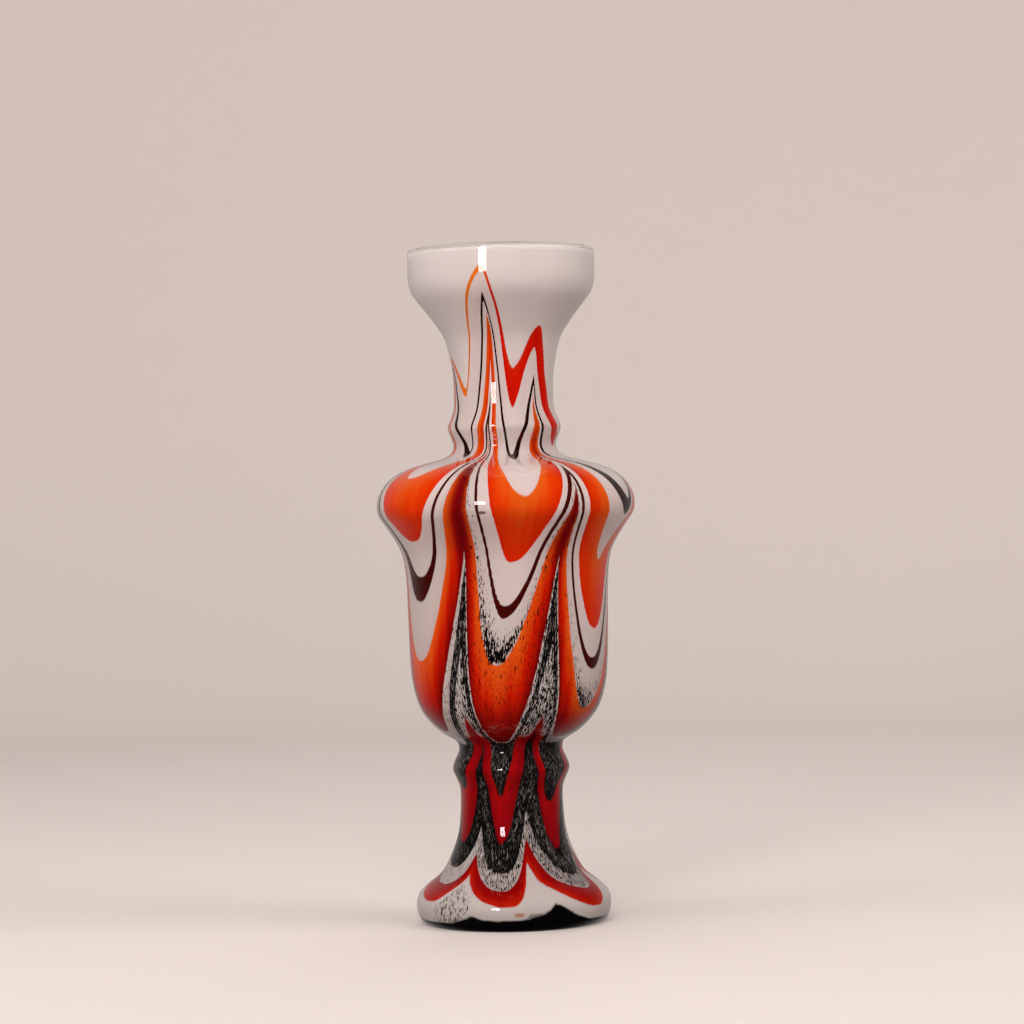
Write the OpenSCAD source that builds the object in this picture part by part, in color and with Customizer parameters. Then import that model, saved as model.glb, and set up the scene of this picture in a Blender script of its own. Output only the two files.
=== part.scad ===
// Cased art glass vase: cupped mouth, ringed neck, bell-shaped body, ringed waist and spreading foot.
// The wall is three bonded coats: an opal lining, a coat of pulled colours, and a clear casing.
// In the coloured coat each colour is a piece of its own, let into the white ground.

/* [Vase] */
// Height from the table to the lip
vase_h = 420; // [380:10:460]
// Diameter at the widest part of the shoulder
shoulder_d = 162; // [150:2:174]

/* [Glass] */
// Thickness of the clear outer casing
casing_t = 1.8; // [1.4:0.1:2.0]
// Thickness of the coloured coat under the casing
colour_t = 0.8; // [0.6:0.1:0.9]
// Thickness of the glass under the hollow
bottom_t = 9; // [8:0.5:11]
// Depth of the hollow ground into the underside
kick_h = 1.6; // [1:0.2:2.4]

/* [Colours] */
// Half-width that the colours take of each lobe, as a share of it
pull_share = 0.94; // [0.86:0.02:0.96]
// Height of the dark glass at the foot, between the white petals
dark_h = 24; // [18:1:26]

/* [Hidden] */
$fn = 180;
nominal_h = 420;       // the height and the shoulder that the profiles below are drawn for
nominal_d = 162;
up = vase_h / nominal_h;
out = shoulder_d / nominal_d;
step = 4.5;            // spacing of the profile's points along the wall
lobes = 6;             // times the colours were pulled down around the body
lobe_turn = 360 / lobes;
reach = 100 * out;     // radius past everything, for the shapes that part the coloured coat
foot_inner_r = 46 * out;   // inside of the flat ring that the vase stands on
kick_r = 41 * out;         // flat part of the hollow under the foot
hollow_floor_r = 44 * out; // flat floor of the hollow
lip_seam = 0.7;            // how far the inner coats stop short of the lip's bead
corner = 0.6;              // fillet left where a coat turns from the wall to the floor

// The outside of the glass as [radius, height], from the edge that rests on the table to the lip.
outside = [
    [56.0, 0], [59.4, 3.6], [61.1, 12], [59.0, 19], [52.4, 25.2], [44.7, 31.5],
    [38.0, 44], [33.7, 57], [32.2, 72], [32.3, 84], [34.2, 89.5], [36.8, 96],
    [34.6, 102.5], [32.5, 107.5], [33.4, 112.5], [42.7, 118.5], [50.2, 125.4], [56.2, 134],
    [60.0, 146], [61.8, 160], [62.6, 185], [63.2, 211], [64.8, 227], [68.4, 236.5],
    [75.2, 247.4], [80.0, 254.5], [81.0, 261.5], [78.6, 269.5], [72.6, 277], [62.5, 283],
    [50.5, 286.6], [39.5, 289.4], [33.6, 292.8], [32.1, 297.2], [33.6, 302.5], [35.6, 308.7],
    [33.4, 314.5], [31.4, 321], [31.2, 330], [31.8, 344], [35.6, 362.5], [41.2, 372.5],
    [48.5, 382.5], [55.2, 391], [58.2, 399], [58.5, 408], [58.4, 418.3]
];
// The wall of the hollow, from the floor of the foot to the lip, softer than the outside.
hollow = [
    [46.0, 9], [51.5, 12.5], [51.0, 17.5], [45.4, 22.6], [38.6, 28.6], [31.8, 42],
    [27.6, 57], [26.2, 72], [26.6, 84], [28.4, 96], [26.8, 106], [28.6, 115.5],
    [37.4, 122.6], [45.6, 129.8], [51.4, 138], [55.0, 149], [56.8, 162], [57.6, 185],
    [58.2, 211], [59.8, 228.4], [63.2, 238.8], [70.0, 249.6], [74.6, 256], [75.6, 261.4],
    [73.6, 266.8], [68.2, 273], [59.0, 278.4], [47.0, 282], [36.0, 285.2], [29.6, 290],
    [27.6, 297.4], [29.0, 308.6], [27.2, 320], [26.8, 330], [27.6, 344.6], [31.8, 364.4],
    [37.4, 374.6], [44.8, 385], [51.4, 393.4], [54.6, 401], [55.0, 409], [55.0, 418.3]
];

/* Profiles */
function placed(p) = [p[0] * out, p[1] * up];
// Catmull-Rom curve from b to c, at the share t of the way.
function curve(a, b, c, d, t) =
    0.5 * (2 * b + (c - a) * t + (2 * a - 5 * b + 4 * c - d) * t * t
           + (3 * b - a - 3 * c + d) * t * t * t);
function pieces(b, c) = max(1, round(norm(c - b) / step));
function smooth(p) = [
    for (i = [0 : len(p) - 2])
        let (n = pieces(p[i], p[i + 1]))
            for (k = [0 : n - 1])
                curve(p[max(i - 1, 0)], p[i], p[i + 1], p[min(i + 2, len(p) - 1)], k / n),
    p[len(p) - 1]
];
// A profile moved into the glass by d, square to itself.
function inward(p, d) = [
    for (i = [0 : len(p) - 1])
        let (along = p[min(i + 1, len(p) - 1)] - p[max(i - 1, 0)])
            p[i] + d * [-along[1], along[0]] / norm(along)
];
function between(p, low, high) = [for (q = p) if (q[1] > low && q[1] < high) q];
function reversed(p) = [for (i = [len(p) - 1 : -1 : 0]) p[i]];

outer = smooth([for (p = outside) placed(p)]);
inner = smooth([for (p = hollow) placed(p)]);
lip_r = (outer[len(outer) - 1][0] - inner[len(inner) - 1][0]) / 2;
lip_centre = outer[len(outer) - 1] - [lip_r, 0];
coats_top = lip_centre[1] - lip_seam;
casing_floor = kick_h + casing_t;
colour_floor = casing_floor + colour_t;
under_casing = between(inward(outer, casing_t), casing_floor + corner, coats_top);
under_colour = between(inward(outer, casing_t + colour_t), colour_floor + corner, coats_top);

function top_of(p) = [p[len(p) - 1][0], coats_top];
function foot_of(p, floor_z) = [p[0][0] - corner, floor_z];

/* Shells */
module turned(points) { rotate_extrude() polygon(points); }

module clear_casing() {
    lip = [for (a = [15 : 15 : 165]) lip_centre + lip_r * [cos(a), sin(a)]];
    color([0.86, 0.90, 0.90, 0.25]) turned(concat(
        [[0, kick_h], [kick_r, kick_h], [foot_inner_r, 0]], outer, lip,
        [inner[len(inner) - 1], [inner[len(inner) - 1][0], coats_top], top_of(under_casing)],
        reversed(under_casing), [foot_of(under_casing, casing_floor), [0, casing_floor]]));
}

module opal_lining() {
    color("ghostwhite") turned(concat(
        [[0, colour_floor], foot_of(under_colour, colour_floor)], under_colour,
        [top_of(under_colour), [inner[len(inner) - 1][0], coats_top]],
        reversed(between(inner, bottom_t, coats_top)), [[hollow_floor_r, bottom_t], [0, bottom_t]]));
}

// The whole coloured coat, before it is parted into its colours.
module coloured_coat() {
    turned(concat(
        [[0, casing_floor], foot_of(under_casing, casing_floor)], under_casing,
        [top_of(under_casing), top_of(under_colour)], reversed(under_colour),
        [foot_of(under_colour, colour_floor), [0, colour_floor]]));
}

/* Pulled colours */
// The edges of the colours, from the neck down. Each hangs round the vase as six festoons, given by
// [height of the tip, height where the limbs end, share of the half lobe that the limbs reach].
trail_over = [345, 404, 0.62];
trail_under = [320, 400, 0.74];
neck_thread_over = [292, 388, 0.80];
neck_thread_under = [288.5, 386, 0.87];
tongue_over = [264, 330, 0.92];
tongue_under = [225, 286, 1];
body_thread_over = [198, 268, 0.84];
body_thread_under = [191, 262, 0.90];
flame_over = [162, 240, 0.94];
flame_under = [121, 150, 1];
tooth_over = [108, 140, 0.80];
tooth_under = [79, 126, 0.92];
stem_flame_over = [70, 112, 0.94];
stem_flame_under = [52, 76, 1];
border_over = [24, 46, 0.86];
border_under = [15, 40, 1];
petal = [8, 30, 0.86];

hem_steps = 8;                 // straight stretches along each limb
wedge = lobe_turn / 2 - 0.4;   // half angle that one lobe's shapes keep to
coat_middle = between(inward(outer, casing_t + colour_t / 2), colour_floor + corner, coats_top);
coat_r = [for (q = coat_middle) [q[1], q[0]]];

// The glass of one lobe that lies above an edge, seen square to the wall.
module above(edge) {
    low = edge[0] * up;
    high = edge[1] * up;
    side = [
        for (k = [0 : hem_steps])
            let (
                t = k / hem_steps,
                z = low + t * t * (high - low),
                turn = edge[2] * pull_share * t * sqrt(2 - t * t) * lobe_turn / 2
            )
                [lookup(z, coat_r) * sin(turn), z]
    ];
    polygon(concat([for (q = reversed(side)) [-q[0], q[1]]], [for (k = [1 : hem_steps]) side[k]]));
}
// One festoon of a colour, between the edge over it and the edge under it.
module festoon(over, under) {
    difference() {
        above(under);
        above(over);
    }
}
function corner_of_lobe(turn) = reach * [sin(turn), -cos(turn)];
// A flat shape pressed through the wall from the side, in each lobe.
module pressed() {
    for (k = [0 : lobes - 1])
        rotate([0, 0, k * lobe_turn]) intersection() {
            linear_extrude(vase_h) polygon([[0, 0], corner_of_lobe(-wedge), corner_of_lobe(wedge)]);
            rotate([90, 0, 0]) linear_extrude(reach) children();
        }
}
module in_the_coat() {
    intersection() {
        coloured_coat();
        pressed() children();
    }
}

module neck_trails() { color("orangered") in_the_coat() festoon(trail_over, trail_under); }
module dark_threads() {
    color([0.16, 0.08, 0.06]) in_the_coat() {
        festoon(neck_thread_over, neck_thread_under);
        festoon(body_thread_over, body_thread_under);
    }
}
module shoulder_tongues() { color([0.88, 0.34, 0.10]) in_the_coat() festoon(tongue_over, tongue_under); }
module body_flames() { color([0.80, 0.20, 0.04]) in_the_coat() festoon(flame_over, flame_under); }
module waist_teeth() { color([0.10, 0.07, 0.07]) in_the_coat() festoon(tooth_over, tooth_under); }
module stem_flames() { color([0.74, 0.12, 0.04]) in_the_coat() festoon(stem_flame_over, stem_flame_under); }
module foot_border() { color([0.82, 0.20, 0.06]) in_the_coat() festoon(border_over, border_under); }
module below_the_petals() {
    difference() {
        cylinder(r = reach, h = dark_h * up);
        pressed() above(petal);
    }
}
module black_foot() {
    color([0.08, 0.06, 0.06]) intersection() {
        coloured_coat();
        below_the_petals();
    }
}
module opal_ground() {
    color("white") difference() {
        coloured_coat();
        pressed() {
            festoon(trail_over, trail_under);
            festoon(neck_thread_over, neck_thread_under);
            festoon(tongue_over, tongue_under);
            festoon(body_thread_over, body_thread_under);
            festoon(flame_over, flame_under);
            festoon(tooth_over, tooth_under);
            festoon(stem_flame_over, stem_flame_under);
            festoon(border_over, border_under);
        }
        below_the_petals();
    }
}

clear_casing();
opal_lining();
opal_ground();
neck_trails();
dark_threads();
shoulder_tongues();
body_flames();
waist_teeth();
stem_flames();
foot_border();
black_foot();
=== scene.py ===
"""Cased art glass vase: an opal lining, a coat of pulled colours and a clear casing, on a pale table."""

import bpy
import numpy as np
from mathutils import Matrix, Vector


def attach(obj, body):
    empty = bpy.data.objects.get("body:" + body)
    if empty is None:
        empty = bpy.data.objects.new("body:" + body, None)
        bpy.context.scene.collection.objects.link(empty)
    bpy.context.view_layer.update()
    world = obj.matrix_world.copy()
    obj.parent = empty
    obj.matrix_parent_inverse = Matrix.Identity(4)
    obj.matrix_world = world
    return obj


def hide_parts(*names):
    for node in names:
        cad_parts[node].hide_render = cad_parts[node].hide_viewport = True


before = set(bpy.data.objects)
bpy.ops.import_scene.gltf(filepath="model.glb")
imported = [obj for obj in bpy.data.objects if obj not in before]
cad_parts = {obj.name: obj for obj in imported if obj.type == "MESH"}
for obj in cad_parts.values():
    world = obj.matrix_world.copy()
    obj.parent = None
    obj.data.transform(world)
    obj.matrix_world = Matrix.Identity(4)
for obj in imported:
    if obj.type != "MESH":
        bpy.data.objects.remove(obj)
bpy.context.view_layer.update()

# ---------------------------------------------------------------- opal lining
# The first gather: opaque milk glass, blown into the bubble that the hollow is. It shows only inside the mouth,
# where its wall is the bare, fire-polished inside of the vase. The three coats are shaped as one bubble, so every
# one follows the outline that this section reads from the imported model's corners and rounds off.
MM = 0.001
COAT_NODES = ["opal_ground", "neck_trails", "dark_threads", "shoulder_tongues", "body_flames",
              "waist_teeth", "stem_flames", "foot_border", "black_foot"]
SAME_PLACE = 0.12 * MM


def corners_of(*nodes):
    """The distinct (radius, height) pairs of the nodes' corners, in metres, to a hundredth of a millimetre."""
    found = []
    for node in nodes:
        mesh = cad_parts[node].data
        corner = np.empty(len(mesh.vertices) * 3)
        mesh.vertices.foreach_get("co", corner)
        x, y, z = corner.reshape(-1, 3).T
        found.append(np.column_stack([np.hypot(x, y), z]))
    return np.unique(np.round(np.concatenate(found), 5), axis=0)


def apart_from(points, others):
    """The points that don't lie in the same place as any of the others."""
    r, z = (points[:, None, :] - others[None, :, :]).transpose(2, 0, 1)
    return points[np.hypot(r, z).min(axis=1) > SAME_PLACE]


def chain(points, low, high):
    """The points with heights from low to high, from the bottom up, one for each height, but not those that
    are only halfway along a straight piece."""
    points = points[(points[:, 1] >= low) & (points[:, 1] <= high)]
    points = points[np.argsort(points[:, 1])]
    points = points[np.diff(points[:, 1], prepend=-1) > SAME_PLACE]
    halfway = np.abs(points[1:-1] - (points[:-2] + points[2:]) / 2).max(axis=1) < 0.03 * MM
    return points[~np.concatenate([[False], halfway, [False]])]


def between(path, low, high):
    """The part of a path whose heights are from low to high."""
    return path[(path[:, 1] >= low) & (path[:, 1] <= high)]


def arc_lengths(path):
    """The distance along a path of (radius, height) points, from its first one."""
    return np.concatenate([[0], np.cumsum(np.hypot(*np.diff(path, axis=0).T))])


def along(path, distance):
    """Points at these distances along the path: between two corners, a cubic with the slopes of its neighbours."""
    s = arc_lengths(path)
    slope = np.gradient(path, s, axis=0)
    i = np.clip(np.searchsorted(s, distance, side="right") - 1, 0, len(s) - 2)
    h = (s[i + 1] - s[i])[:, None]
    t = (distance - s[i])[:, None] / h
    return ((2 * t**3 - 3 * t**2 + 1) * path[i] + (t**3 - 2 * t**2 + t) * h * slope[i]
            + (3 * t**2 - 2 * t**3) * path[i + 1] + (t**3 - t**2) * h * slope[i + 1])


def even_bends(path, rows, fineness=16 * MM):
    """Distances along the path for that many rows, closer together where it bends: 1 + fineness * curvature."""
    s = arc_lengths(path)
    tangent = np.gradient(path, s, axis=0)
    bend = np.abs(np.gradient(np.unwrap(np.arctan2(tangent[:, 1], tangent[:, 0])), s))
    bend = np.convolve(bend, np.full(61, 1 / 61), mode="same")
    weight = np.cumsum(1 + fineness * bend)
    return np.interp(np.linspace(weight[0], weight[-1], rows), weight, s)


def fire_polished(path, softness=1.2 * MM, steps=2400):
    """The path with its corners rounded, as by surface tension in the flame: many even steps along it, each moved
    to the mean of its neighbours weighted by exp(-(distance / softness)**2 / 2). Its ends stay where they are."""
    even = along(path, np.linspace(0, arc_lengths(path)[-1], steps))
    step = arc_lengths(even)[-1] / steps
    reach = int(4 * softness / step)
    weight = np.exp(-((np.arange(-reach, reach + 1) * step / softness) ** 2) / 2)
    padded = np.vstack([2 * even[0] - even[reach:0:-1], even, 2 * even[-1] - even[-2:-reach - 2:-1]])
    return np.column_stack([np.convolve(column, weight / weight.sum(), mode="valid") for column in padded.T])


def wall(path, distance, depth=0):
    """Points of a finely stepped path at these distances along it, moved into the glass by depth, square to it."""
    s = arc_lengths(path)
    tangent = np.gradient(path, s, axis=0)
    tangent /= np.hypot(*tangent.T)[:, None]
    moved = path + depth * np.column_stack([-tangent[:, 1], tangent[:, 0]])
    return np.column_stack([np.interp(distance, s, column) for column in moved.T])


casing_corners = corners_of("clear_casing")
coat_corners = corners_of(*COAT_NODES)
lining_corners = corners_of("opal_lining")
COATS_TOP = lining_corners[:, 1].max()
COAT_FLOOR = coat_corners[:, 1].min()
LINING_FLOOR = lining_corners[:, 1].min()
LIP_R, LIP_TOP = casing_corners[casing_corners[:, 1].argmax()]
LIP_START = casing_corners[casing_corners[:, 1] > COATS_TOP + SAME_PLACE, 1].min()
RING_INNER = casing_corners[casing_corners[:, 1] < SAME_PLACE, 0].min()
KICK_R, KICK = casing_corners[(casing_corners[:, 0] < RING_INNER) & (casing_corners[:, 1] < COAT_FLOOR)][0]
CASING_T = COAT_FLOOR - KICK
COAT_T = LINING_FLOOR - COAT_FLOOR
bare = apart_from(casing_corners, np.concatenate([coat_corners, lining_corners]))
bare = bare[(bare[:, 0] > RING_INNER) | (bare[:, 1] > COAT_FLOOR)]
outer_wall = fire_polished(chain(bare[(bare[:, 0] > LIP_R) | (bare[:, 1] < COATS_TOP)], 0, LIP_START))
hollow_wall = fire_polished(chain(apart_from(lining_corners, coat_corners), 0, COATS_TOP))
HOLLOW_FLOOR = hollow_wall[0, 1]
OUT_OF_ROUND = 0.006       # share of its radius that a hand-blown circle is drawn in by, at most


def blown(r, z, turn):
    """Points of a hand-blown wall: a circle of radius r at height z, drawn in by up to OUT_OF_ROUND of its radius
    where two slow waves round the vase, which drift with height, are low."""
    wave = 0.5 * np.sin(2 * turn + 9 * z + 0.6) + 0.3 * np.sin(3 * turn - 16 * z + 2.1)
    wave += 0.2 * np.sin(turn + 38 * z)
    r = r * (1 - OUT_OF_ROUND * (1 - wave) / 2)
    return np.stack([r * np.sin(turn), -r * np.cos(turn), z + 0 * turn], axis=-1)


def vessel(name, path, turn, values=None):
    """A closed form turned round +Z from a path of (radius, height) points that starts and ends on the axis.
    turn is the angle from the front, in radians, for each row of the path and each column, so columns may lean.
    values are numbers for each row and column, by name, kept as point attributes."""
    rows, columns = turn.shape
    rings = blown(path[:, :1], path[:, 1:], turn)
    poles = rings[[0, -1], 0] * (0, 0, 1)
    points = np.concatenate([rings[1:-1].reshape(-1, 3), poles])
    below = np.arange((rows - 3) * columns).reshape(-1, columns)
    right = np.roll(below, -1, axis=1)
    quads = np.stack([below, right, right + columns, below + columns], axis=-1).reshape(-1, 4)
    first = np.arange(columns)
    last = first + (rows - 3) * columns
    under = np.stack([np.roll(first, -1), first, np.full(columns, len(points) - 2)], axis=-1)
    over = np.stack([last, np.roll(last, -1), np.full(columns, len(points) - 1)], axis=-1)
    mesh = bpy.data.meshes.new(name)
    mesh.vertices.add(len(points))
    mesh.vertices.foreach_set("co", points.ravel())
    corners = np.concatenate([quads.ravel(), under.ravel(), over.ravel()])
    sides = np.concatenate([np.full(len(quads), 4), np.full(2 * columns, 3)])
    mesh.loops.add(len(corners))
    mesh.loops.foreach_set("vertex_index", corners)
    mesh.polygons.add(len(sides))
    mesh.polygons.foreach_set("loop_start", np.concatenate([[0], np.cumsum(sides)[:-1]]))
    for key, value in (values or {}).items():
        flat = np.concatenate([value[1:-1].reshape(-1, *value.shape[2:]), value[[0, -1], 0]])
        kind = "FLOAT_VECTOR" if flat.ndim == 2 else "FLOAT"
        slot = mesh.attributes.new(key, kind, "POINT")
        slot.data.foreach_set("vector" if flat.ndim == 2 else "value", flat.ravel())
    mesh.update(calc_edges=True)
    mesh.validate()
    mesh.shade_smooth()
    piece = bpy.data.objects.new(name, mesh)
    bpy.context.scene.collection.objects.link(piece)
    return piece


def upright(path, columns):
    """Turning angles for a path with that many upright columns."""
    return np.tile(np.arange(columns) * 2 * np.pi / columns, (len(path), 1))


def linear(code):
    """A colour for a shader socket, from its sRGB hex code: each channel c becomes ((c + 0.055) / 1.055) ** 2.4."""
    c = np.array([int(code[i:i + 2], 16) for i in (0, 2, 4)]) / 255
    return (*np.where(c > 0.04045, ((c + 0.055) / 1.055) ** 2.4, c / 12.92), 1)


def glass_material(name):
    """A new node material, and its node tree with the Principled shader already joined to the output."""
    material = bpy.data.materials.new(name)
    material.use_nodes = True
    return material, material.node_tree, material.node_tree.nodes["Principled BSDF"]


def add_node(tree, kind, inputs=(), **settings):
    """Adds a shader node: settings are its properties, and inputs pairs each socket with a value or a link."""
    node = tree.nodes.new("ShaderNode" + kind)
    for key, value in settings.items():
        setattr(node, key, value)
    for socket, value in inputs:
        if isinstance(value, bpy.types.NodeSocket):
            tree.links.new(value, node.inputs[socket])
        else:
            node.inputs[socket].default_value = value
    return node


LINING_COLUMNS = 192
lining_out = wall(outer_wall, even_bends(outer_wall, 230, 40 * MM), CASING_T + COAT_T)
lining_out = between(lining_out, LINING_FLOOR + 1 * MM, COATS_TOP - 1 * MM)
hollow = wall(hollow_wall, even_bends(hollow_wall, 150))
lining_path = np.concatenate([
    [(0, LINING_FLOOR), (lining_out[0, 0] - 1 * MM, LINING_FLOOR)], lining_out,
    [(lining_out[-1, 0], COATS_TOP)], hollow[::-1], [(0, HOLLOW_FLOOR)],
])
opal_lining = vessel("opal_bubble", lining_path, upright(lining_path, LINING_COLUMNS))

# Milk glass: scatters light close under its surface, which gives a soft, faintly warm white with a wet gloss.
milk_glass, tree, shader = glass_material("opal_milk_glass")
clouds = add_node(tree, "TexNoise", [("Vector", add_node(tree, "TexCoord").outputs["Object"]), ("Scale", 18.0),
                                     ("Detail", 3.0)])
milk = add_node(tree, "Mix", [(0, clouds.outputs["Fac"]), (6, linear("D6CCC4")), (7, linear("E2DAD3"))],
                data_type="RGBA")
tree.links.new(milk.outputs[2], shader.inputs["Base Color"])
shader.inputs["Roughness"].default_value = 0.12
shader.inputs["IOR"].default_value = 1.5
opal_lining.data.materials.append(milk_glass)
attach(opal_lining, "root")
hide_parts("opal_lining")

# ---------------------------------------------------------------- coloured coat
# Threads and bands of orange, red and black glass were trailed round the white bubble and dusted with black
# frit. Then a hook pulled them down in six places, so every colour hangs as festoons, with sharp cusps between.
FRONT_LOBES = 3
WALL_LENGTH = arc_lengths(outer_wall)[-1]
TWIST = np.radians(0.08) / MM        # the pulls lean round the vase by this much for each metre of height
UPRIGHT_AT = 200 * MM
CUSPS = (-90, -26, 28, 90)           # degrees from the front, where the pulls part

# Each edge between two colours, from the lip down, over the left, middle and right lobe of one side:
# heights of its tips, heights of its cusps (side, left, right), in mm; degrees to the tips; how each of its six
# limbs bends, 1 for straight, more for a slack curve that sweeps up at the cusp; how round the cusps are; and
# degrees to its left and right cusp.
EDGES = {
    "trail over": ((331, 345, 303), (352, 408, 370), (-60, 0, 66),
                   (1.4, 1.2, 1.9, 1.8, 1.1, 1.6), 1.6, (-28.5, 23)),
    "trail under": ((327, 319, 297), (347, 403, 356), (-60, 1, 64),
                    (1.5, 1.24, 1.8, 1.5, 2.2, 1.6), 1.6, (-28.3, 24)),
    "neck thread over": ((293, 291, 262), (352, 391, 341), (-48, 0, 66),
                         (1.4, 0.9, 1.3, 1.2, 1.3, 1.4), 1, (-28, 28)),
    "neck thread under": ((290, 288, 252), (343, 385, 333), (-48, 1, 66),
                          (1.5, 1.1, 1.4, 1.15, 1.6, 1.6), 1, (-28, 28)),
    "tongue over": ((277, 264, 224), (352, 382, 329), (-62, 4, 60),
                    (1.6, 2.2, 2.0, 1.5, 1.3, 1.6), 1, (-26, 28)),
    "tongue under": ((238, 225, 183), (330, 350, 291), (-60, -1, 61),
                     (2.2, 2.6, 1.6, 2.6, 2.2, 2.2), 1, (-26, 28)),
    "body thread over": ((217, 198, 165), (300, 332, 285), (-60, -2, 60),
                         (2.2, 2.5, 2.0, 2.0, 2.2, 2.2), 1, (-26, 28)),
    "body thread under": ((201, 191, 158), (288, 310, 278), (-60, -2, 61),
                          (2.4, 2.1, 1.87, 1.95, 2.2, 2.3), 1, (-26, 28)),
    "flame over": ((165, 163, 134), (276, 300, 271), (-60, -4, 60),
                   (2.2, 2.4, 2.7, 1.8, 2.4, 2.7), 1, (-26, 28)),
    "flame under": ((120, 113, 116), (224, 232, 228), (-56, 1, 60),
                    (2.5, 2.2, 4.0, 2.0, 4.6, 4.0), 1, (-26, 28)),
    "tooth over": ((111, 113, 112), (200, 224, 222), (-58, 1, 60),
                   (2.6, 3.4, 4.6, 2.6, 5.0, 4.2), 1, (-26, 28)),
    "tooth under": ((84, 80, 76), (150, 174, 180), (-58, -3, 58),
                    (2.2, 2.4, 2.0, 1.5, 2.2, 2.4), 1, (-26, 28)),
    "stem flame under": ((51, 51, 47), (104, 112, 122), (-52, 0, 62),
                         (2.0, 2.0, 1.7, 1.8, 1.7, 2.0), 1, (-26, 27)),
    "stem black under": ((37, 35, 31), (62, 62, 72), (-50, 3, 74),
                         (2.4, 2.4, 2.4, 2.8, 2.0, 2.4), 1, (-26, 26)),
    "grey under": ((27, 25, 24), (46, 46, 55), (-46, 8, 73),
                   (2.2, 2.0, 2.0, 1.8, 2.0, 2.2), 1, (-26, 26)),
    "border under": ((17, 16, 12), (36, 34, 41), (-44, 9, 76),
                     (2.2, 2.0, 2.0, 5.0, 2.0, 2.4), 1, (-26, 25)),
    "petal under": ((2.4, 7.6, 4.5), (4, 9.5, 18), (-50, 14, 70),
                    (2.4, 3.0, 3.0, 4.0, 1.4, 2.4), 1, (-11, 40)),
}
BACK_SHIFTS = (7, -6, 5)             # mm that the back's three lobes hang higher or lower than the front's


def limb(u, bend, roundness):
    """How far up its limb an edge is, at the share u of the way from tip to cusp: 1 - (1 - u**bend)**roundness."""
    return 1 - (1 - np.clip(u, 0, 1) ** bend) ** roundness


def up_wall(height):
    """The distance along the outer wall at a height above the table, in metres."""
    return np.interp(height, outer_wall[:, 1], arc_lengths(outer_wall))


def edge_heights(around):
    """For each edge, its distance along the wall at each angle, in metres: rises limb by limb between the tips
    and cusps. The back repeats the front half a turn round, with each lobe shifted by a smooth bump."""
    half_turn = (around + np.pi / 2) % np.pi - np.pi / 2
    degrees = np.degrees(half_turn)
    at_back = np.cos(around) < 0
    found = []
    for tips, tops, places, bends, roundness, inner in EDGES.values():
        cusps = (CUSPS[0], *inner, CUSPS[-1])
        tip = up_wall(np.array(tips) * MM)
        top = up_wall(np.array((*tops, tops[0])) * MM)
        height = np.zeros_like(around)
        for side in range(2 * FRONT_LOBES):
            lobe, cusp = side // 2, (side + 1) // 2
            here = (degrees >= min(places[lobe], cusps[cusp])) & (degrees <= max(places[lobe], cusps[cusp]))
            u = (degrees - places[lobe]) / (cusps[cusp] - places[lobe])
            rise = (top[cusp] - tip[lobe]) * limb(u, bends[side], roundness)
            height = np.where(here, tip[lobe] + rise, height)
        found.append(height)
    found = np.array(found)
    lobe = np.searchsorted(CUSPS[1:3], degrees)
    bump = np.sin(3 * (half_turn + np.pi / 2)) ** 2 * at_back * np.array(BACK_SHIFTS)[lobe] * MM
    return np.minimum.accumulate(found + bump * np.sin(np.pi * found / WALL_LENGTH), axis=0)


# Each limb, from the middle of its lobe to the cusp, has the same number of columns, closer at the cusp.
LIMB_COLUMNS = 28
u = 1 - (1 - np.arange(LIMB_COLUMNS) / LIMB_COLUMNS) ** 1.5
middles = (np.array(CUSPS[:-1]) + CUSPS[1:]) / 2
limbs = [middle + side * u * gap for middle, gap in zip(middles, np.diff(CUSPS) / 2) for side in (-1, 1)]
half = np.unique(np.round(np.concatenate([*limbs, CUSPS[:-1]]), 6))
around = np.radians(np.concatenate([half, half + 180]))

COAT_ROWS = 204
coat_rows = even_bends(outer_wall, COAT_ROWS)
coat_face = wall(outer_wall, coat_rows, CASING_T)
kept = (coat_face[:, 1] > COAT_FLOOR + 0.8 * MM) & (coat_face[:, 1] < COATS_TOP - 0.5 * MM)
coat_rows, coat_face = coat_rows[kept], coat_face[kept]
back_rows = even_bends(outer_wall, 84, 40 * MM)
coat_back = wall(outer_wall, back_rows, CASING_T + COAT_T)
kept = (coat_back[:, 1] > LINING_FLOOR + 1 * MM) & (coat_back[:, 1] < COATS_TOP - 1 * MM)
back_rows, coat_back = back_rows[kept], coat_back[kept]
coat_path = np.concatenate([
    [(0, COAT_FLOOR), (coat_face[0, 0] - 0.8 * MM, COAT_FLOOR)], coat_face,
    [(coat_face[-1, 0], COATS_TOP), (coat_back[-1, 0], COATS_TOP)], coat_back[::-1],
    [(coat_back[0, 0] - 0.8 * MM, LINING_FLOOR), (0, LINING_FLOOR)],
])
wall_at = np.concatenate([[0, 0], coat_rows, [WALL_LENGTH, WALL_LENGTH], back_rows[::-1], [0, 0]])
coat_turn = around[None, :] + TWIST * (coat_path[:, 1:] - UPRIGHT_AT)

# The melt coordinate is where a spot of glass sat before it was pulled, in metres up the wall. It is level
# along every edge, so the colours are plain bands of it. An edge sat at the mean height of its tips.
edges = edge_heights(around)
unpulled = np.array([up_wall(np.mean(tips) * MM) for tips, *_ in EDGES.values()])
melt = np.empty(coat_turn.shape)
knots = np.concatenate([[0], unpulled[::-1], [WALL_LENGTH]])
for column, heights in enumerate(edges.T):
    melt[:, column] = np.interp(wall_at, np.concatenate([[0], heights[::-1], [WALL_LENGTH]]), knots)
flow = np.stack([np.sin(around) + 0 * melt, -np.cos(around) + 0 * melt, 0 * melt + wall_at[:, None]], axis=-1)
flow[..., :2] *= outer_wall[:, 0].mean()

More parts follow.
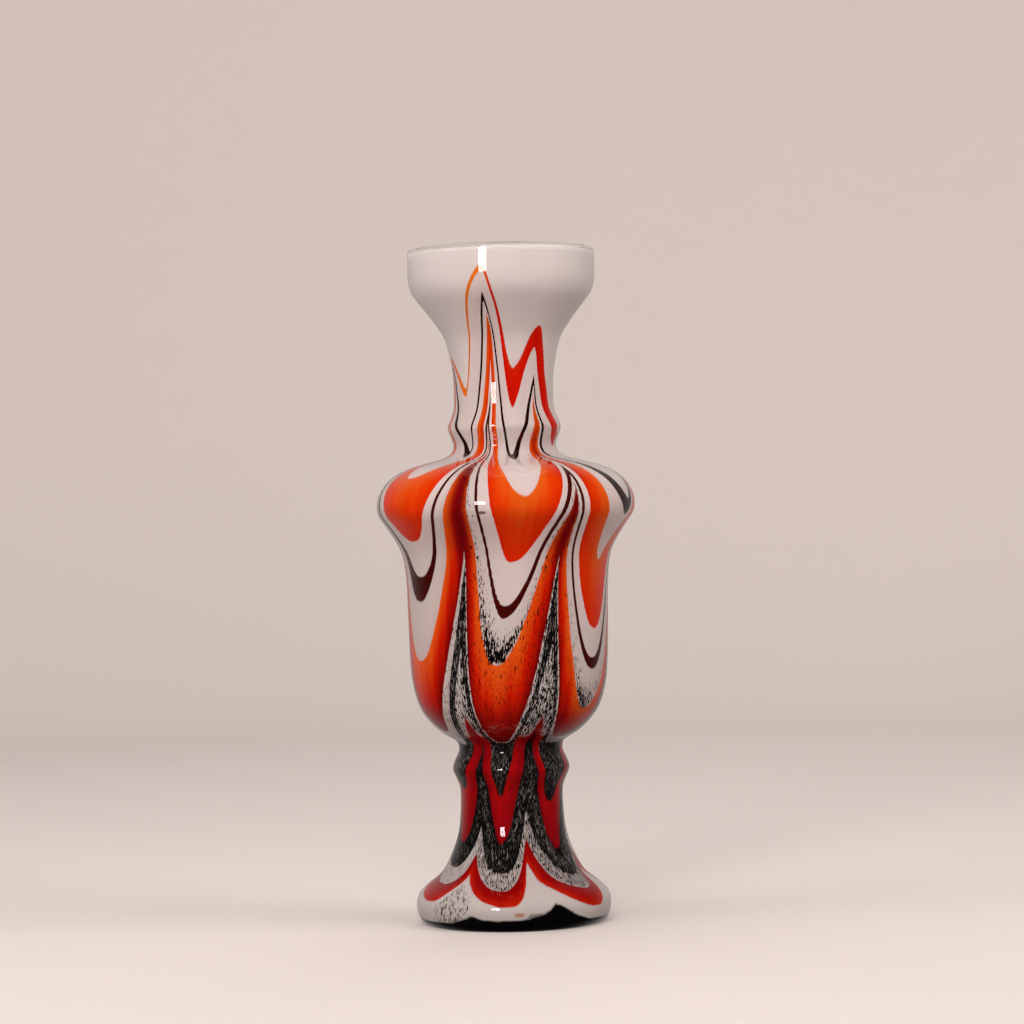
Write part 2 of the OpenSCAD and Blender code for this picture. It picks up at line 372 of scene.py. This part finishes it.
# Each colour is one band of the melt coordinate: its name, its hue at its upper edge, in its middle and at its
# lower edge, then how much of it black frit covers in the left, middle and right lobe, from 0 to 1.
BANDS = [
    ("collar", "C6BEBB", "C6BEBB", "C6BEBB", (0, 0, 0)),
    ("trail", "BE2006", "BC1000", "B61000", (0, 0, 0)),
    ("white", "C6B9B5", "C2B5B1", "C2B5B1", (0, 0, 0)),
    ("neck thread", "220604", "1E0404", "220604", (0, 0, 0)),
    ("white", "C6B9B5", "C2B5B1", "C2B5B1", (0, 0, 0)),
    ("tongue", "C85412", "C83602", "C02200", (0, 0, 0)),
    ("white", "C6B9B5", "C2B5B1", "C2B5B1", (0, 0, 0)),
    ("body thread", "400A04", "380804", "400A04", (0, 0, 0)),
    ("white", "BDB1AD", "BBAEAA", "B6A9A5", (0, 0.66, 0.55)),
    ("flame", "CE5414", "BA1800", "6C0002", (0, 0.27, 0.2)),
    ("grey white", "BEB2AE", "B4A8A4", "ACA09C", (0.3, 0.5, 0.5)),
    ("tooth", "0C0808", "8C8480", "0C0808", (0.72, 0.76, 0.76)),
    ("stem flame", "9C0806", "8E040A", "7A040C", (0.05, 0.2, 0.2)),
    ("stem black", "0C0808", "8C8480", "0C0808", (0.85, 0.8, 0.78)),
    ("grey", "A89E9A", "A89E9A", "A09894", (0.3, 0.5, 0.58)),
    ("border", "7C0506", "8C0404", "A81A04", (0, 0.05, 0)),
    ("petal", "B2AAA6", "B2AAA6", "AEA6A2", (0.42, 0.42, 0)),
    ("foot", "030202", "030202", "030202", (0, 0, 0)),
]
names = [band[0] for band in BANDS]
TONGUE, FLAME, STEM_FLAME, PETAL = (names.index(name) for name in ("tongue", "flame", "stem flame", "petal"))
OVER_FLAMES = FLAME - 1            # the white band that the flames hang from
LOBE_TIPS = (-60, -4, 56)          # degrees to the tips that the frit gathers at
TENT_TOP, TENT_SLOPE = 131, 2.4    # mm: the red reaches this high at a cusp, and this much less for each degree
WAIST = 118                        # mm, where the stem flame starts to thin

degrees = np.degrees((around + np.pi / 2) % np.pi - np.pi / 2)
from_cusp = np.abs(degrees[:, None] - np.array(CUSPS)).min(axis=1)
from_tip = np.abs(degrees[:, None] - LOBE_TIPS).min(axis=1)
lobes = np.searchsorted(CUSPS[1:3], degrees)
tops = np.concatenate([[WALL_LENGTH], unpulled])
band_at = np.clip(len(BANDS) - 1 - np.searchsorted(tops[::-1], melt, side="right"), 0, len(BANDS) - 1)
depth = (tops[band_at] - melt) / (tops - np.append(tops[1:], 0))[band_at]
row_at = wall_at[:, None]

# Where the stem flame is pulled up past the waist, outside a tent of red at each cusp, it has thinned to a
# grey-white core. The trail is orange in the left lobe and red elsewhere.
tent = up_wall((TENT_TOP - TENT_SLOPE * from_cusp) * MM)
core = np.clip(0.5 + (row_at - np.maximum(tent, up_wall(WAIST * MM))) / (5 * MM), 0, 1)
warmth = np.clip((-23 - degrees) / 6, 0, 1) + 0 * melt
# Frit is where the band has any. On the white over the flames it is thicker at the lower edge and at the tips,
# and on the petals it is one patch at the left of the front.
near_tip = np.clip(1.3 - from_tip / 14, 0, 1)
frit = np.array([band[4] for band in BANDS])[band_at, lobes[None, :]]
frit = np.where(band_at == OVER_FLAMES,
                frit * (0.35 + 0.65 * near_tip) * np.clip(1.5 * depth, 0, 1.2) ** (0.8 + 0.8 * near_tip), frit)
frit = np.where(band_at == STEM_FLAME, frit + 0.42 * core, frit)
patch = np.clip((-12 - degrees) / 2, 0, 1) * np.clip((degrees + 44) / 6, 0, 1)
frit = np.where(band_at == PETAL, frit * patch * (melt < tops[PETAL] - 2 * MM), frit)
# The tongues and flames have a dark heart at each cusp, and the flames darken again towards the waist.
heart = np.exp(-(from_cusp / 4.5) ** 2) * np.interp(row_at, up_wall(np.array((215, 235, 285, 325)) * MM),
                                                    (0, 1, 1, 0))
heart = np.where(np.isin(band_at, (TONGUE, FLAME)), heart, 0)
burnt = 0.7 * np.interp(row_at, up_wall(np.array((112, 142)) * MM), (1, 0))
heart = np.where(band_at == FLAME, np.maximum(heart, burnt), heart)
coloured_coat = vessel("coloured_coat", coat_path, coat_turn, {
    "melt": melt, "flow": flow, "frit": frit, "warmth": warmth, "heart": heart, "core": core})

# Opaque soda glass of many colours. It is seen through the clear casing, so it has no gloss of its own: only
# colour. The colours bleed a little at their edges, run in fine vertical streaks, and carry black frit.
BLEED = 0.45 * MM          # a colour fades into the next over this much on each side of their edge
RIPPLE = 1.6 * MM          # an edge wavers by up to this much
pulled_glass, tree, shader = glass_material("pulled_colour_glass")
level = add_node(tree, "Attribute", attribute_name="melt").outputs["Fac"]
place = add_node(tree, "Attribute", attribute_name="flow").outputs["Vector"]
ripple = add_node(tree, "TexNoise", [("Vector", place), ("Scale", 70.0), ("Detail", 3.0)])
ripple = add_node(tree, "MapRange", [(0, ripple.outputs["Fac"]), (3, -RIPPLE), (4, RIPPLE)])
level = add_node(tree, "Math", [(0, level), (1, ripple.outputs[0])], operation="ADD").outputs[0]
stretched = add_node(tree, "Mapping", [(0, place), (3, (1, 1, 0.03))])
streak = add_node(tree, "TexNoise", [("Vector", stretched.outputs[0]), ("Scale", 260.0), ("Detail", 2.0)])
streak = add_node(tree, "MapRange", [(0, streak.outputs["Fac"]), (1, 0.35), (2, 0.7), (3, -0.1), (4, 0.12)])
colour = None
bottoms = [*unpulled, 0]
for (name, upper, middle, lower, _), top, bottom in zip(BANDS, tops, bottoms):
    down = add_node(tree, "MapRange", [(0, level), (1, top), (2, bottom)]).outputs[0]
    down = add_node(tree, "Math", [(0, down), (1, streak.outputs[0])], operation="ADD").outputs[0]
    first = add_node(tree, "MapRange", [(0, down), (1, 0.0), (2, 0.5)])
    second = add_node(tree, "MapRange", [(0, down), (1, 0.5), (2, 1.0)])
    hue = add_node(tree, "Mix", [(0, first.outputs[0]), (6, linear(upper)), (7, linear(middle))],
                   data_type="RGBA")
    hue = add_node(tree, "Mix", [(0, second.outputs[0]), (6, hue.outputs[2]), (7, linear(lower))],
                   data_type="RGBA")
    if name == "trail":
        warm = add_node(tree, "Attribute", attribute_name="warmth").outputs["Fac"]
        hue = add_node(tree, "Mix", [(0, warm), (6, hue.outputs[2]), (7, linear("CC6414"))], data_type="RGBA")
    if name == "stem flame":
        thin = add_node(tree, "Attribute", attribute_name="core").outputs["Fac"]
        hue = add_node(tree, "Mix", [(0, thin), (6, hue.outputs[2]), (7, linear("B8AEAA"))], data_type="RGBA")
    if colour is None:
        colour = hue.outputs[2]
        continue
    below = add_node(tree, "MapRange", [(0, level), (1, top + BLEED), (2, top - BLEED)])
    colour = add_node(tree, "Mix", [(0, below.outputs[0]), (6, colour), (7, hue.outputs[2])],
                      data_type="RGBA").outputs[2]
# The reds deepen to crimson where the heart attribute says so.
deep = add_node(tree, "Attribute", attribute_name="heart").outputs["Fac"]
colour = add_node(tree, "Mix", [(0, deep), (6, colour), (7, linear("6A0206"))], data_type="RGBA").outputs[2]
# Frit: grains about half a millimetre wide, drawn out to six times that by the pull.
cover = add_node(tree, "Attribute", attribute_name="frit").outputs["Fac"]
drawn = add_node(tree, "Mapping", [(0, place), (3, (1, 1, 0.16))])
grain = add_node(tree, "TexNoise", [("Vector", drawn.outputs[0]), ("Scale", 1900.0), ("Detail", 1.5),
                                    ("Roughness", 0.6)])
needed = add_node(tree, "MapRange", [(0, cover), (3, 0.74), (4, 0.3)])
over = add_node(tree, "Math", [(0, grain.outputs["Fac"]), (1, needed.outputs[0])], operation="SUBTRACT")
black = add_node(tree, "MapRange", [(0, over.outputs[0]), (1, -0.012), (2, 0.02)])
shown = add_node(tree, "MapRange", [(0, cover), (1, 0.02), (2, 0.08)])
black = add_node(tree, "Math", [(0, black.outputs[0]), (1, shown.outputs[0])], operation="MULTIPLY")
colour = add_node(tree, "Mix", [(0, black.outputs[0]), (6, colour), (7, linear("0A0808"))],
                  data_type="RGBA").outputs[2]
# Two small marks: a tan spot at the front of the foot, and a brown seed, an old flaw, on the shoulder.
for angle, height, across, hue in ((18, 10.5, 3.0, "A07058"), (-15.2, 255, 2.4, "4A2A14")):
    radius = outer_wall[:, 0].mean()
    spot = (radius * np.sin(np.radians(angle)), -radius * np.cos(np.radians(angle)), up_wall(height * MM))
    away = add_node(tree, "VectorMath", [(0, place), (1, spot)], operation="SUBTRACT").outputs[0]
    away = add_node(tree, "VectorMath", [(0, away), (1, (1, 1, 1.7))], operation="MULTIPLY").outputs[0]
    away = add_node(tree, "VectorMath", [(0, away)], operation="LENGTH").outputs["Value"]
    away = add_node(tree, "Math", [(0, away), (1, ripple.outputs[0])], operation="ADD").outputs[0]
    mark = add_node(tree, "MapRange", [(0, away), (1, across * MM), (2, (across - 0.6) * MM), (4, 0.85)])
    colour = add_node(tree, "Mix", [(0, mark.outputs[0]), (6, colour), (7, linear(hue))],
                      data_type="RGBA").outputs[2]
tree.links.new(colour, shader.inputs["Base Color"])
shader.inputs["Roughness"].default_value = 0.6
shader.inputs["Specular IOR Level"].default_value = 0.0
coloured_coat.data.materials.append(pulled_glass)
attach(coloured_coat, "root")
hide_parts(*COAT_NODES)

# ---------------------------------------------------------------- clear casing
# The last gather: clear crystal over everything. It rounds off as a bead at the lip, where it meets the bare
# lining, and under the foot it is ground to a flat ring round a shallow hollow.
CASING_COLUMNS = 240
OVERLAP = 0.12 * MM        # the casing reaches this far into the coat, as the two are one melt with no gap
casing_face = wall(outer_wall, even_bends(outer_wall, 250))
lip_r = LIP_TOP - outer_wall[-1, 1]
lip_angles = np.radians(np.arange(12, 180, 12))[:, None]
lip = outer_wall[-1] - (lip_r, 0) + lip_r * np.hstack([np.cos(lip_angles), np.sin(lip_angles)])
inside_lip = hollow_wall[-1, 0]
casing_back = wall(outer_wall, even_bends(outer_wall, 136), CASING_T + OVERLAP)
casing_back = between(casing_back, COAT_FLOOR + 1 * MM, COATS_TOP - 1 * MM)
casing_path = np.concatenate([
    [(0, KICK), (KICK_R, KICK), (RING_INNER, 0)], casing_face, lip,
    [(inside_lip, outer_wall[-1, 1]), (inside_lip, COATS_TOP - OVERLAP), (casing_back[-1, 0], COATS_TOP - OVERLAP)],
    casing_back[::-1], [(casing_back[0, 0] - 1 * MM, COAT_FLOOR + OVERLAP), (0, COAT_FLOOR + OVERLAP)],
])
clear_casing = vessel("clear_overlay", casing_path, upright(casing_path, CASING_COLUMNS))

# Crown-like clear glass, fire-polished: sharp, bright reflections over the colours, and no colour of its own.
# Lamps reach the colours through it as straight light.
crystal, tree, shader = glass_material("clear_crystal")
shader.inputs["Base Color"].default_value = linear("FFFFFF")
shader.inputs["Roughness"].default_value = 0.015
shader.inputs["IOR"].default_value = 1.5
shader.inputs["Transmission Weight"].default_value = 1.0
lamp_ray = add_node(tree, "LightPath").outputs["Is Shadow Ray"]
passing = add_node(tree, "BsdfTransparent")
both = add_node(tree, "MixShader", [(0, lamp_ray), (1, shader.outputs[0]), (2, passing.outputs[0])])
tree.links.new(both.outputs[0], tree.nodes["Material Output"].inputs["Surface"])
clear_casing.data.materials.append(crystal)
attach(clear_casing, "root")
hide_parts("clear_casing")

# ---------------------------------------------------------------- table, backdrop and light
# A pale matt floor that sweeps up into a low wall all round, so every side of the vase has the same backdrop.
# A window-like softbox stands to the left of the camera, with large fills at both sides, above, in front and
# behind.
BOWL_SIDES = 128
FLAT_R, BEND_R, WALL_TOP = 1.7, 0.8, 1.3      # metres: the floor's radius, its bend's, and the wall's height
rise = np.linspace(0, np.pi / 2, 14)
bend = np.column_stack([FLAT_R + BEND_R * np.sin(rise), BEND_R - BEND_R * np.cos(rise)])
sweep_line = np.vstack([[(0.9, 0)], bend, [(FLAT_R + BEND_R, WALL_TOP)]])
side_angle = np.arange(BOWL_SIDES) * 2 * np.pi / BOWL_SIDES
points = np.stack([sweep_line[:, :1] * np.sin(side_angle), sweep_line[:, :1] * np.cos(side_angle),
                   sweep_line[:, 1:] + 0 * side_angle], axis=-1).reshape(-1, 3)
here = np.arange(len(points) - BOWL_SIDES).reshape(-1, BOWL_SIDES)
beside = np.roll(here, -1, axis=1)
quads = np.stack([here, beside, beside + BOWL_SIDES, here + BOWL_SIDES], axis=-1).reshape(-1, 4)
stage_mesh = bpy.data.meshes.new("sweep")
stage_mesh.from_pydata(points.tolist(), [], [np.arange(BOWL_SIDES)[::-1].tolist(), *quads.tolist()])
stage_mesh.shade_smooth()
paper, tree, shader = glass_material("pale_paper")
shader.inputs["Base Color"].default_value = linear("E8DFDA")
shader.inputs["Roughness"].default_value = 0.8
stage_mesh.materials.append(paper)
sweep = bpy.data.objects.new("sweep", stage_mesh)
bpy.context.scene.collection.objects.link(sweep)
sweep.visible_glossy = False


def softbox(name, place, aim, width, height, power, tint):
    """A rectangular area lamp at place that faces aim."""
    lamp = bpy.data.lights.new(name, "AREA")
    lamp.shape = "RECTANGLE"
    lamp.size, lamp.size_y = width, height
    lamp.energy = power
    lamp.color = linear(tint)[:3]
    holder = bpy.data.objects.new(name, lamp)
    toward = Vector(aim) - Vector(place)
    holder.matrix_world = Matrix.Translation(place) @ toward.to_track_quat("-Z", "Y").to_matrix().to_4x4()
    holder.visible_camera = False
    bpy.context.scene.collection.objects.link(holder)
    return holder


MIDDLE = (0, 0, 0.22)
FILLS = {
    "fill_left": ((-1.75, -0.8, 1.6), 1.3, 10),
    "fill_right": ((1.75, -0.7, 1.55), 1.3, 18),
    "top": ((-0.3, 0.1, 2.6), 2.2, 27),
    "front": ((-0.35, -1.95, 1.75), 1.3, 20),
    "back": ((0.5, 1.9, 1.75), 1.3, 7),
}
window = softbox("window", (-0.74, -1.85, 0.53), MIDDLE, 0.34, 0.4, 1.9, "FFFCFA")
window.data.spread = np.radians(90)
for name, (place, size, power) in FILLS.items():
    softbox(name, place, MIDDLE, size, size, power, "FFFAF7").visible_glossy = False
# The room is dim toward the camera and bright behind the vase, as seen in the gloss at the glass's edges.
world = bpy.data.worlds.new("room")
world.use_nodes = True
tree = world.node_tree
toward = add_node(tree, "SeparateXYZ", [(0, add_node(tree, "TexCoord").outputs["Generated"])]).outputs[1]
glow = add_node(tree, "MapRange", [(0, toward), (1, 0.2), (2, 1.0), (3, 0.04), (4, 0.55)],
                interpolation_type="SMOOTHSTEP")
tree.links.new(glow.outputs[0], tree.nodes["Background"].inputs["Strength"])
tree.nodes["Background"].inputs["Color"].default_value = linear("DCD4CF")
bpy.context.scene.world = world
bpy.context.scene.view_settings.view_transform = "Standard"

# ---------------------------------------------------------------- camera
# Level with the shoulder, about two metres off, with a long lens, and tipped a little to one side.
EYE = (0.0038, -1.974, 0.2555)
ROLL = np.radians(-1.2)
lens = bpy.data.cameras.new("camera")
lens.lens = 110.9
lens.sensor_width = 36
camera = bpy.data.objects.new("camera", lens)
camera.matrix_world = (Matrix.Translation(EYE) @ Matrix.Rotation(np.pi / 2, 4, "X")
                       @ Matrix.Rotation(ROLL, 4, "Z"))
bpy.context.scene.collection.objects.link(camera)
bpy.context.scene.camera = camera
